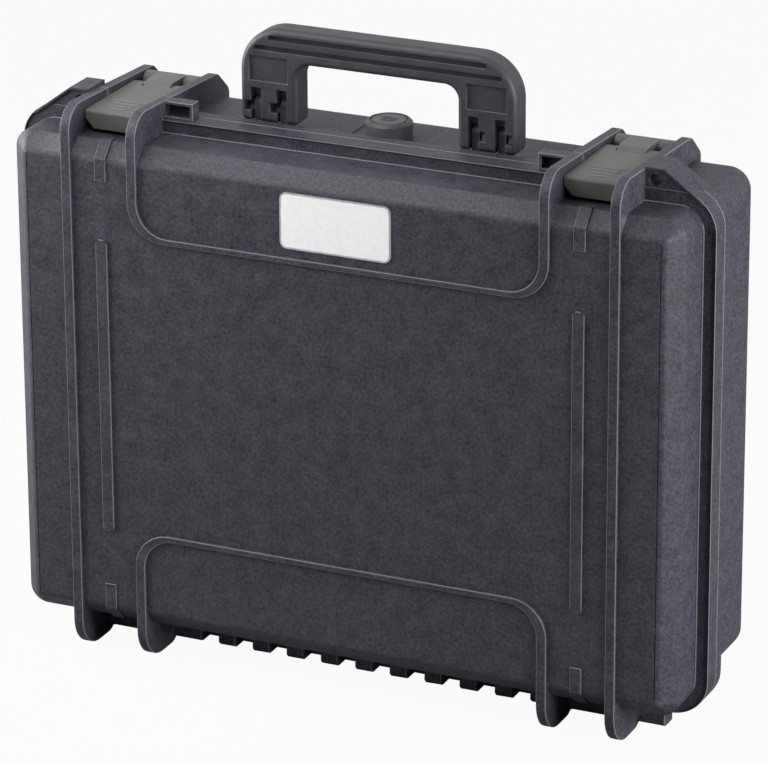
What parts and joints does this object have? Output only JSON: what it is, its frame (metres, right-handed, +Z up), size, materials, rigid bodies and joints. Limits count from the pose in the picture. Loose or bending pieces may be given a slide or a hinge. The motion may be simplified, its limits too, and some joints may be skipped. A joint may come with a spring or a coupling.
{
  "type": "protective hard case",
  "caption": "A ribbed waterproof carrying case that stands on its hinge side, with draw latches over a sealed lid, a folding handle and a pressure valve.",
  "frame": {"origin": "Centre of the bounding box in X and Y, on the floor under the feet.", "axes": "+X along the case's width to the right as seen from the lid, +Y from the lid to the base, +Z up to the handle."},
  "size_m": [0.502, 0.142, 0.445],
  "materials": {
    "shell_plastic": "charcoal moulded polypropylene with a fine grain",
    "handle_plastic": "near-black moulded nylon, fine grain",
    "latch_plastic": "dark grey moulded plastic, slightly smoother than the shell",
    "steel_pin": "drawn stainless rod",
    "seal_rubber": "soft black rubber cord",
    "valve_plastic": "black moulded plastic",
    "white_film": "thin white film, smooth"
  },
  "bodies": {
    "base": {"base_shell": "shell_plastic", "base_lug_left": "shell_plastic", "base_lug_right": "shell_plastic", "hinge_rod": "steel_pin", "valve_body": "valve_plastic", "valve_seal": "seal_rubber", "valve_cap": "valve_plastic", "valve_nut": "valve_plastic", "valve_membrane": "white_film", "handle_pin_left": "steel_pin", "handle_pin_right": "steel_pin", "latch_pin_left": "steel_pin", "latch_pin_right": "steel_pin"},
    "lid": {"lid_shell": "shell_plastic", "lid_lug_left": "shell_plastic", "lid_lug_right": "shell_plastic", "lid_seal": "seal_rubber", "catch_bar_left": "steel_pin", "catch_bar_right": "steel_pin"},
    "handle": {"handle": "handle_plastic"},
    "link_left": {"latch_link_left": "latch_plastic"},
    "link_right": {"latch_link_right": "latch_plastic"},
    "lever_left": {"latch_lever_left": "latch_plastic", "lever_pin_left": "steel_pin"},
    "lever_right": {"latch_lever_right": "latch_plastic", "lever_pin_right": "steel_pin"}
  },
  "joints": [
    {"name": "lid_hinge", "type": "hinge", "parent": "base", "child": "lid", "pos_m": [0, -0.015, 0.009], "axis": [1, 0, 0], "range_deg": [0, 105]},
    {"name": "handle_pivot", "type": "hinge", "parent": "base", "child": "handle", "pos_m": [0, 0.0065, 0.39], "axis": [1, 0, 0], "range_deg": [-90, 80]},
    {"name": "link_pivot_left", "type": "hinge", "parent": "base", "child": "link_left", "pos_m": [-0.173, 0.042, 0.382], "axis": [1, 0, 0], "range_deg": [-90, 0]},
    {"name": "link_pivot_right", "type": "hinge", "parent": "base", "child": "link_right", "pos_m": [0.173, 0.042, 0.382], "axis": [1, 0, 0], "range_deg": [-90, 0]},
    {"name": "lever_pivot_left", "type": "hinge", "parent": "link_left", "child": "lever_left", "pos_m": [-0.173, 0.022, 0.382], "axis": [1, 0, 0], "range_deg": [-60, 0]},
    {"name": "lever_pivot_right", "type": "hinge", "parent": "link_right", "child": "lever_right", "pos_m": [0.173, 0.022, 0.382], "axis": [1, 0, 0], "range_deg": [-60, 0]}
  ]
}
